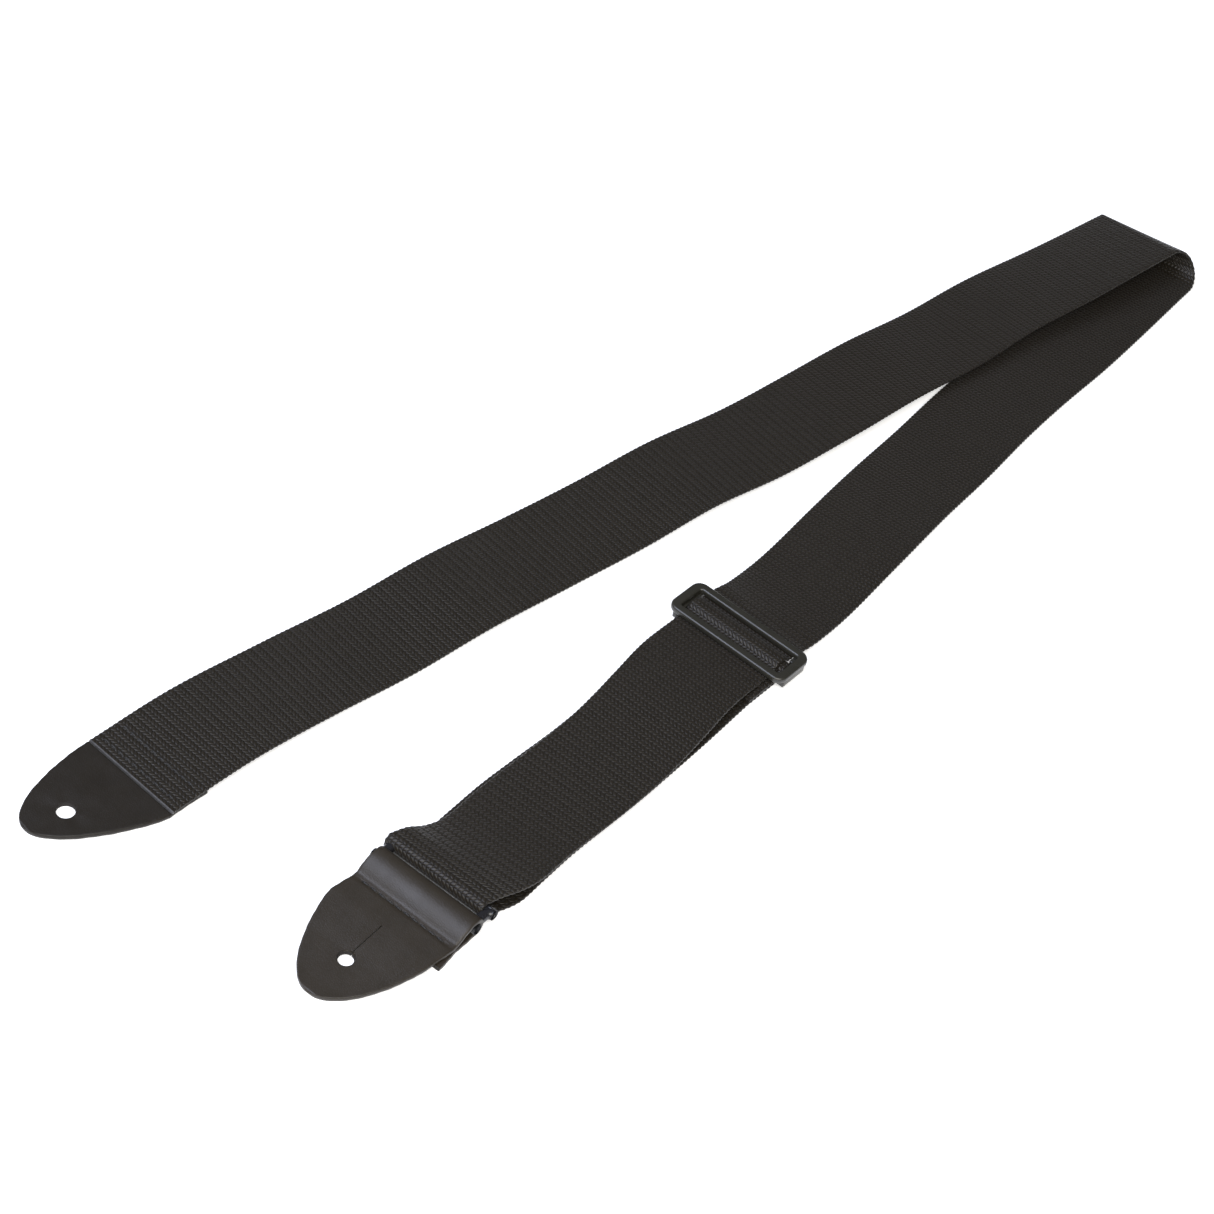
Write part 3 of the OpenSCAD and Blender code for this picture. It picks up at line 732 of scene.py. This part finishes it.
buttonTab = {
    "thickness": 2.15, "tongueLength": 41.0, "tongueWidth": 52.0, "tongueY": 0.2, "fullX": 20.0,
    "width": 51.6, "middleY": -1.2, "plyShift": -1.2, "plyEnd": 21.5, "stitchX": 30.5, "bendX": 33.5,
    "topZ": 2.35, "holeRadius": 3.15, "slitLength": 20.0, "slitWidth": 0.45, "columns": 46,
    "wrapInner": 2.35, "halfPly": 1.1, "bulgeFrom": 33.2, "bulgeLength": 9.8, "bulgeRise": 4.55,
}
fixedTab = {
    "thickness": 2.15, "seam": (5.2, 119.2), "seamTurn": -4.0, "tongueTurn": -12.5, "length": 49.0, "width": 50.4,
    "hole": (-23.5, 124.0), "holeRadius": 3.8, "lap": 19.5, "lapWidth": 49.5, "columns": 46,
}
sewing = {"stitch": 4.2, "thread": 0.78, "rows": (5.0, 15.0), "tackRows": (-15.0, -22.0)}

tipPower = 1.3  # how bluntly both tongues narrow


def bump2d(x, y, wide):
    return np.exp(-(x * x + y * y) / (2 * wide * wide))


def smoothRun(points, step, reach):  # even spacing with softened corners
    points = np.array(points, float)
    run = np.concatenate([[0], np.cumsum(np.linalg.norm(np.diff(points, axis=0), axis=1))])
    even = np.linspace(0, run[-1], int(run[-1] / step) + 1)
    line = np.stack([np.interp(even, run, points[:, k]) for k in range(points.shape[1])], 1)
    half = int(reach / step)
    before, after = 2 * line[:1] - line[1:half + 1][::-1], 2 * line[-1:] - line[-half - 1:-1][::-1]
    padded = np.concatenate([before, line, after])
    kernel = np.hanning(2 * half + 3)[1:-1]
    return np.stack([np.convolve(padded[:, k], kernel / kernel.sum(), "valid") for k in range(line.shape[1])], 1)


def markEdges(piece):  # the cut ends take the second material
    piece.data.materials.append(hideEdge)
    for face in piece.data.polygons:
        if len(face.vertices) > 4:
            face.material_index = 1


def holeCutter(x, y, radius, low, high):
    spot = (np.array([x, y, 0]) + origin) * mm
    bpy.ops.mesh.primitive_circle_add(
        vertices=48, radius=(radius + 0.7) * mm, fill_type="NGON", location=(spot[0], spot[1], (low - 1) * mm))
    cutter = bpy.context.object
    bpy.ops.object.mode_set(mode="EDIT")
    bpy.ops.mesh.select_all(action="SELECT")
    steps = [(low + 0.02, radius + 0.12), (low + 0.3, radius), (high - 0.4, radius), (high - 0.02, radius + 0.3),
             (high + 1, radius + 0.9)]
    z, r = low - 1, radius + 0.7
    for nextZ, nextR in steps:
        bpy.ops.mesh.extrude_region_move(TRANSFORM_OT_translate={"value": (0, 0, (nextZ - z) * mm)})
        bpy.ops.transform.resize(value=(nextR / r, nextR / r, 1), center_override=(spot[0], spot[1], nextZ * mm))
        z, r = nextZ, nextR
    bpy.ops.mesh.select_all(action="SELECT")
    bpy.ops.mesh.normals_make_consistent(inside=False)
    bpy.ops.object.mode_set(mode="OBJECT")
    bpy.ops.object.transform_apply(location=True, rotation=True, scale=True)
    return cutter


def cutWith(piece, cutter):
    onlySelect(piece)
    modifier = piece.modifiers.new("cut", "BOOLEAN")
    modifier.operation = "DIFFERENCE"
    modifier.solver = "EXACT"
    modifier.object = cutter
    bpy.ops.object.modifier_apply(modifier=modifier.name)
    bpy.data.objects.remove(cutter)


def rimOfHole(piece, x, y, radius):  # the wall of a punched hole shows the cut edge
    spot = (np.array([x, y, 0]) + origin) * mm
    for face in piece.data.polygons:
        away = math.hypot(face.center.x - spot[0], face.center.y - spot[1])
        if away < (radius + 0.5) * mm and abs(face.normal.z) < 0.8:
            face.material_index = 1


def tongueHalf(t, width):
    return width / 2 * np.sqrt(np.maximum(0, 1 - np.power(np.clip(t, 0, 1), tipPower)))


def tipThickness(full, away):  # the tip is rounded off like the sides
    share = np.clip(away / 1.1, 0.02, 1)
    return full * np.sqrt(1 - (1 - share) ** 2)


def makeButtonTab():
    b, t = buttonTab, buttonTab["thickness"]
    barX, barZ = ring["nearBar"], ring["barZ"]
    reach = b["wrapInner"] + b["halfPly"]
    profile = [(-21.0, 1.1), (-14.0, 1.1), (2.0, 1.75), (b["fullX"], b["topZ"] + 0.75),
               (b["bendX"] - 5, b["topZ"] + 1.05), (b["bendX"] - 0.9, b["topZ"] + b["halfPly"])]
    profile += [(b["bulgeFrom"] + b["bulgeLength"] * u, b["topZ"] + b["halfPly"] + b["bulgeRise"] * (1 - (1 - u) ** 2))
                for u in np.linspace(0.03, 0.95, 16)]
    profile += arcPoints((barX, barZ), reach, 95, -90, 40)
    profile += [(barX - 0.5, 1.15), (b["plyEnd"], 1.15)]
    line = smoothRun(profile, 0.35, 1.6)
    run = np.concatenate([[0], np.cumsum(np.linalg.norm(np.diff(line, axis=0), axis=1))])
    # rows crowd towards the tip
    tipRun = 41.0 * (1 - np.sin(np.radians(np.linspace(88.3, 0, 84))))
    rest = np.linspace(tipRun[-1], run[-1], int((run[-1] - tipRun[-1]) / 0.62))[1:]
    at = np.concatenate([tipRun, rest])
    x, z = np.interp(at, run, line[:, 0]), np.interp(at, run, line[:, 1])
    under = at > run[np.argmax(line[:, 0])]  # the ply that comes back under the tab
    towards = np.clip((x - b["fullX"]) / 10, 0, 1)
    towards = np.where(under, 1, towards)
    half = np.where((x < b["fullX"]) & ~under, tongueHalf((b["fullX"] - x) / b["tongueLength"], b["tongueWidth"]),
                    b["tongueWidth"] / 2 + (b["width"] - b["tongueWidth"]) / 2 * towards)
    y = b["tongueY"] + (b["middleY"] - b["tongueY"]) * towards
    y = y + np.where(under, b["plyShift"] * np.clip((33 - x) / 11.5, 0, 1), 0)
    half = half + 0.10 * np.sin(at * 0.9) * np.sin(at * 0.37) - 0.12
    centre = np.stack([x, y, z], 1)
    centre[:, 2] += np.where(under, 0, 0.04 * np.sin(x / 6.0))
    tangent = np.gradient(centre, axis=0)
    tangent[:, 1] = 0
    side = np.tile([0.0, 1.0, 0.0], (len(x), 1))
    up = np.cross(tangent, side)
    up /= np.linalg.norm(up, axis=1)[:, None]
    thick = np.where(x < -10, tipThickness(t, x + 21.0), t)
    rowX, rowUnder = x, under

    def relief(across, upSide):
        px, py = np.broadcast_to(rowX[:, None], across.shape), across + y[:, None]
        over = ~rowUnder[:, None] & (np.broadcast_to(upSide, across.shape) > 0)
        seam = -0.14 * np.exp(-((px - b["stitchX"]) / 0.8) ** 2)  # the thread pulls a channel
        phase = (py - b["middleY"]) / sewing["stitch"]
        offNeedle = (phase - np.rint(phase)) * sewing["stitch"]
        prick = -0.34 * np.exp(-((px - b["stitchX"]) / 0.6) ** 2) * np.exp(-(offNeedle / 0.6) ** 2)
        hole = -0.15 * bump2d(px, py, 4.6)
        waves = 0.03 * np.sin(py * 0.36 + px * 0.11) * np.sin(px * 0.23)
        inside = np.abs(across) < half[:, None] - 1.0
        return np.where(over, seam + prick * inside + hole + waves, 0)

    piece = rollBand("buttonTabLeather", centre, side, up, half, thick, at, b["columns"],
                     rim=5, rimRadius=0.55, relief=relief)
    finishPiece(piece, hide)
    markEdges(piece)
    cutWith(piece, holeCutter(0, 0, b["holeRadius"], 0.0, 2.2))
    # the slit lets the tab stretch over the strap button
    spot = (np.array([b["slitLength"] / 2, 0, 2.5]) + origin) * mm
    bpy.ops.mesh.primitive_cube_add(size=1, location=tuple(spot))
    knife = bpy.context.object
    bpy.ops.transform.resize(value=(b["slitLength"] * mm, b["slitWidth"] * mm, 8 * mm))
    bpy.ops.object.transform_apply(location=True, rotation=True, scale=True)
    bpy.ops.object.mode_set(mode="EDIT")
    bpy.ops.mesh.select_all(action="SELECT")
    bpy.ops.mesh.bevel(offset=0.15 * mm, segments=2, affect="EDGES")
    bpy.ops.object.mode_set(mode="OBJECT")
    cutWith(piece, knife)
    rimOfHole(piece, 0, 0, b["holeRadius"])
    onlySelect(piece)
    bpy.ops.object.shade_smooth_by_angle(angle=math.radians(40))
    return piece


def axesAt(turn):
    return np.array([math.cos(turn), math.sin(turn)]), np.array([-math.sin(turn), math.cos(turn)])


def makeFixedTab():
    f, t = fixedTab, fixedTab["thickness"]
    seam = np.array(f["seam"])
    seamTurn, tongueTurn = math.radians(f["seamTurn"]), math.radians(f["tongueTurn"])
    (ex, ey), (sx, sy) = axesAt(tongueTurn), axesAt(seamTurn)
    root = seam + 2 * ex + 0.45 * ey
    edgeAt = lambda X, sign: root + ex * X + ey * sign * tongueHalf(-X / f["length"], f["width"])
    starts = []
    for sign in (1, -1):  # where each edge of the tongue meets the seam
        tries = np.linspace(-15, 6, 400)
        off = [abs((edgeAt(X, sign) - seam) @ sx) for X in tries]
        starts.append(tries[int(np.argmin(off))])
    lefts, rights = [], []
    for q in np.linspace(1, 0, 92):
        s = math.sin(math.radians(88.3) * q)
        lefts.append(edgeAt(starts[0] + (-f["length"] - starts[0]) * s, 1))
        rights.append(edgeAt(starts[1] + (-f["length"] - starts[1]) * s, -1))
    for x in np.arange(0.6, f["lap"] + 0.01, 0.6):
        w = f["lapWidth"] / 2 + 0.3 * math.exp(-x / 2)
        lefts.append(seam + sx * x + sy * (w - 0.1))
        rights.append(seam + sx * x - sy * (w - 0.1))
    left, right = np.array(lefts), np.array(rights)
    centre = np.concatenate([(left + right) / 2, np.full((len(left), 1), 1.12)], 1)
    half = np.linalg.norm(left - right, axis=1) / 2
    side = np.concatenate([(left - right) / (2 * half[:, None]), np.zeros((len(left), 1))], 1)
    run = np.concatenate([[0], np.cumsum(np.linalg.norm(np.diff(centre, axis=0), axis=1))])
    half = half + 0.12 * np.sin(run * 0.8) * np.sin(run * 0.31) - 0.1
    tip = root - ex * f["length"]
    away = np.linalg.norm(centre[:, :2] - tip, axis=1)
    thick = tipThickness(t, away)
    up = np.tile([0.0, 0.0, 1.0], (len(run), 1))

    def relief(across, upSide):
        spotX, spotY = (centre[:, None, k] + side[:, None, k] * across for k in (0, 1))
        px, py = spotX - f["hole"][0], spotY - f["hole"][1]
        fromSeam = (spotX - seam[0]) * sx[0] + (spotY - seam[1]) * sx[1]
        top = np.broadcast_to(upSide, across.shape) > 0
        pucker = 0.07 * np.sin(np.arctan2(py, px) * 5 + 0.7) * np.exp(-((np.hypot(px, py) - 8) / 4.5) ** 2)
        dip = -0.22 * bump2d(px, py, 4.8)
        waves = 0.07 * np.sin(px * 0.19 + py * 0.08) * np.cos(py * 0.15 - 0.5)
        fade = np.clip(-fromSeam / 5, 0, 1)
        return np.where(top, (pucker + dip + waves) * fade - 0.12 * np.clip(fromSeam, 0, 1), 0)

    piece = rollBand("fixedTabLeather", centre, side, up, half, thick, run, f["columns"],
                     rim=5, rimRadius=0.55, relief=relief)
    finishPiece(piece, darkerHide)
    markEdges(piece)
    cutWith(piece, holeCutter(*f["hole"], f["holeRadius"], 0.0, 2.2))
    rimOfHole(piece, *f["hole"], f["holeRadius"])
    onlySelect(piece)
    bpy.ops.object.shade_smooth_by_angle(angle=math.radians(40))
    return piece, seam, sx, sy


buttonTabLeather = makeButtonTab()
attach(buttonTabLeather, "button_tab")
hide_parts("button_tab_leather")
fixedTabLeather, seamSpot, seamAlong, seamAcross = makeFixedTab()
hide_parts("fixed_tab_lap", "fixed_tab_tongue")
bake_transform(fixedTabLeather)
print("leather tabs ready")

# stitches


def makeStitch():  # one stitch along Y at the origin, its ends diving into the work
    bpy.ops.mesh.primitive_uv_sphere_add(segments=8, ring_count=6, radius=0.5)
    stitch = bpy.context.object
    bpy.ops.transform.rotate(value=math.radians(90), orient_axis="X", center_override=(0, 0, 0))
    bpy.ops.transform.resize(value=(sewing["thread"] * mm, sewing["stitch"] * 0.94 * mm, sewing["thread"] * 0.9 * mm))
    bpy.ops.object.transform_apply(location=True, rotation=True, scale=True)
    for vertex in stitch.data.vertices:
        reach = vertex.co.y / (sewing["stitch"] / 2 * mm)
        vertex.co.x *= 1 + 0.25 * (1 - reach * reach)
        vertex.co.z -= 0.42 * mm * abs(reach) ** 2.5
    bpy.ops.object.shade_smooth()
    return stitch


def sewRow(name, spots, turn, model):
    copies = []
    for index, spot in enumerate(spots):
        copy = model.copy()
        copy.data = model.data.copy()
        copy.name = name + str(index)
        bpy.context.collection.objects.link(copy)
        lean = math.radians(2.5) * math.sin(index * 2.3)
        flip = Matrix.Scale(-1, 4, (0, 0, 1)) if spot[3] < 0 else Matrix.Identity(4)
        move = Matrix.Translation(Vector((np.array(spot[:3]) + origin) * mm))
        copy.data.transform(move @ Matrix.Rotation(turn + lean, 4, "Z") @ flip)
        if spot[3] < 0:
            copy.data.flip_normals()
        copies.append(copy)
    bpy.ops.object.select_all(action="DESELECT")
    for copy in copies:
        copy.select_set(True)
    bpy.context.view_layer.objects.active = copies[0]
    bpy.ops.object.join()
    piece = bpy.context.object
    piece.name = name
    return finishPiece(piece, thread)


def longLegZ(x):
    return along(longLegLine, x / 42.5)[2]


stitchModel = makeStitch()
tabTop = buttonTab["topZ"] + 2.2
tabSpots = [(buttonTab["stitchX"], buttonTab["middleY"] + (i - 4.5) * sewing["stitch"], z, face)
            for z, face in ((tabTop + 0.12, 1), (0.36, -1)) for i in range(10)]
buttonTabStitches = sewRow("buttonTabStitches", tabSpots, 0, stitchModel)
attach(buttonTabStitches, "button_tab")
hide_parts("button_tab_stitches")

lapSpots = []
for rowX in sewing["rows"]:
    for i in range(10):
        spot = seamSpot + seamAlong * rowX + seamAcross * (i - 4.5) * sewing["stitch"]
        lapSpots.append((spot[0], spot[1], longLegZ(rowX) + 0.75 + 0.22, 1))
fixedTabStitches = sewRow("fixedTabStitches", lapSpots, math.radians(fixedTab["seamTurn"]), stitchModel)
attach(fixedTabStitches, "long_leg")
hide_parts("fixed_tab_stitches")

tackSpots = []
for rowX in sewing["tackRows"]:
    for i in range(10):
        rowY = slider["endShift"] + (i - 4.5) * sewing["stitch"]
        tackSpots += [(*onSlider(rowX, rowY, slider["tailZ"] + 0.85), 1), (*onSlider(rowX, rowY, 0.38), -1)]
sewnEndStitches = sewRow("sewnEndStitches", tackSpots, math.radians(slider["turn"]), stitchModel)
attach(sewnEndStitches, "slider")
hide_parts("sewn_end_stitches")
bpy.data.objects.remove(stitchModel)
print("stitches ready")

# slider and ring


def blockAt(x, y, z, sizeX, sizeY, sizeZ):  # box in the slider's own frame, z is its underside
    bpy.ops.mesh.primitive_cube_add(size=1, location=(x * mm, y * mm, (z + sizeZ / 2) * mm))
    block = bpy.context.object
    bpy.ops.transform.resize(value=(sizeX * mm, sizeY * mm, sizeZ * mm))
    bpy.ops.object.transform_apply(location=True, rotation=True, scale=True)
    return block


def bevelUprights(block, radius, segments):  # rounds the four upright edges
    bpy.ops.object.mode_set(mode="EDIT")
    bpy.ops.mesh.select_mode(type="EDGE")
    bpy.ops.mesh.select_all(action="DESELECT")
    bpy.ops.object.mode_set(mode="OBJECT")
    for edge in block.data.edges:
        a, b = (block.data.vertices[i].co for i in edge.vertices)
        edge.select = abs(a.z - b.z) > abs(a.x - b.x) + abs(a.y - b.y)
    bpy.ops.object.mode_set(mode="EDIT")
    bpy.ops.mesh.bevel(offset=radius * mm, segments=segments, affect="EDGES")
    bpy.ops.object.mode_set(mode="OBJECT")


def roundOff(piece, width, segments, angle=35):
    onlySelect(piece)
    modifier = piece.modifiers.new("soften", "BEVEL")
    modifier.width = width * mm
    modifier.segments = segments
    modifier.limit_method = "ANGLE"
    modifier.angle_limit = math.radians(angle)
    bpy.ops.object.modifier_apply(modifier=modifier.name)
    bpy.ops.object.shade_smooth_by_angle(angle=math.radians(35))


def makeSlider():
    s = slider
    plate = blockAt(0, 0, s["frameZ"], s["length"], s["width"], s["thick"])
    bevelUprights(plate, s["corner"], 10)
    opening = blockAt(0, 0, s["frameZ"] - 1, s["slotLength"], s["slotWidth"], s["thick"] + 2)
    bevelUprights(opening, 1.2, 5)
    cutWith(plate, opening)
    roundOff(plate, 1.5, 6)
    parts = [plate]
    cheekWidth = (s["width"] - 1.0 - s["slotWidth"]) / 2
    underside, tall = s["barZ"] - 1.5, s["frameZ"] + 0.5 - s["barZ"] + 1.5
    for sign in (1, -1):  # cheeks carry the sunk centre bar
        parts.append(blockAt(0, sign * (s["slotWidth"] + cheekWidth) / 2, underside, 15.0, cheekWidth, tall))
    # low walls guide the webbing's edges past the bar
    parts.append(blockAt(0, 27.0, underside, 20.8, 2.5, tall))
    parts.append(blockAt(7.4, -26.1, underside, 6.0, 2.8, tall))
    for block in parts[1:]:
        roundOff(block, 0.5, 3)
    bar = blockAt(0, 0, s["barZ"] - 1.5, 2 * s["barHalf"], s["slotWidth"] + 2, 3.0)
    roundOff(bar, 1.4, 5)
    parts.append(bar)
    bpy.ops.object.select_all(action="DESELECT")
    for part in parts:
        part.select_set(True)
    bpy.context.view_layer.objects.active = plate
    bpy.ops.object.join()
    piece = bpy.context.object
    piece.name = "triGlideSlider"
    middleSpot = (np.array([*s["middle"], 0]) + origin) * mm
    piece.data.transform(Matrix.Translation(Vector(middleSpot)) @ Matrix.Rotation(math.radians(s["turn"]), 4, "Z"))
    return finishPiece(piece, sliderPlastic)


def makeRing():
    r = ring
    radius = r["bar"] / 2
    straight = r["span"] - 2 * r["corner"]
    across = r["pitch"] - 2 * r["corner"]
    bend = (r["pitch"] / 2 - r["corner"], straight / 2)
    bpy.ops.mesh.primitive_circle_add(
        vertices=28, radius=radius * mm, location=(r["pitch"] / 2 * mm, bend[1] * mm, 0),
        rotation=(math.radians(90), 0, 0))
    piece = bpy.context.object
    piece.name = "rectangularRing"
    bpy.ops.object.transform_apply(location=True, rotation=True, scale=True)
    bpy.ops.object.mode_set(mode="EDIT")
    bpy.ops.mesh.select_all(action="SELECT")
    corners = [(bend[0], bend[1]), (-bend[0], bend[1]), (-bend[0], -bend[1]), (bend[0], -bend[1])]
    moves = [(-across, 0), (0, -straight), (across, 0), (0, straight)]
    for (cx, cy), move in zip(corners, moves):
        bpy.ops.mesh.spin(steps=8, angle=math.radians(90), center=(cx * mm, cy * mm, 0), axis=(0, 0, 1))
        cuts = 12 if abs(move[1]) > 1 else 2
        for _ in range(cuts):
            shift = (move[0] * mm / cuts, move[1] * mm / cuts, 0)
            bpy.ops.mesh.extrude_region_move(TRANSFORM_OT_translate={"value": shift})
    bpy.ops.mesh.select_all(action="SELECT")
    bpy.ops.mesh.remove_doubles(threshold=1e-5)
    bpy.ops.mesh.normals_make_consistent(inside=False)
    bpy.ops.object.mode_set(mode="OBJECT")
    bpy.ops.object.shade_smooth()
    spot = (np.array([r["nearBar"] + r["pitch"] / 2, r["middleY"], r["barZ"]]) + origin) * mm
    piece.data.transform(Matrix.Translation(Vector(spot)))
    return finishPiece(piece, ringPlastic)


triGlideSlider = makeSlider()
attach(triGlideSlider, "slider")
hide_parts("tri_glide_slider")
rectangularRing = makeRing()
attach(rectangularRing, "ring")
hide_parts("rectangular_ring")
print("slider and ring ready")

bpy.ops.object.select_all(action="DESELECT")
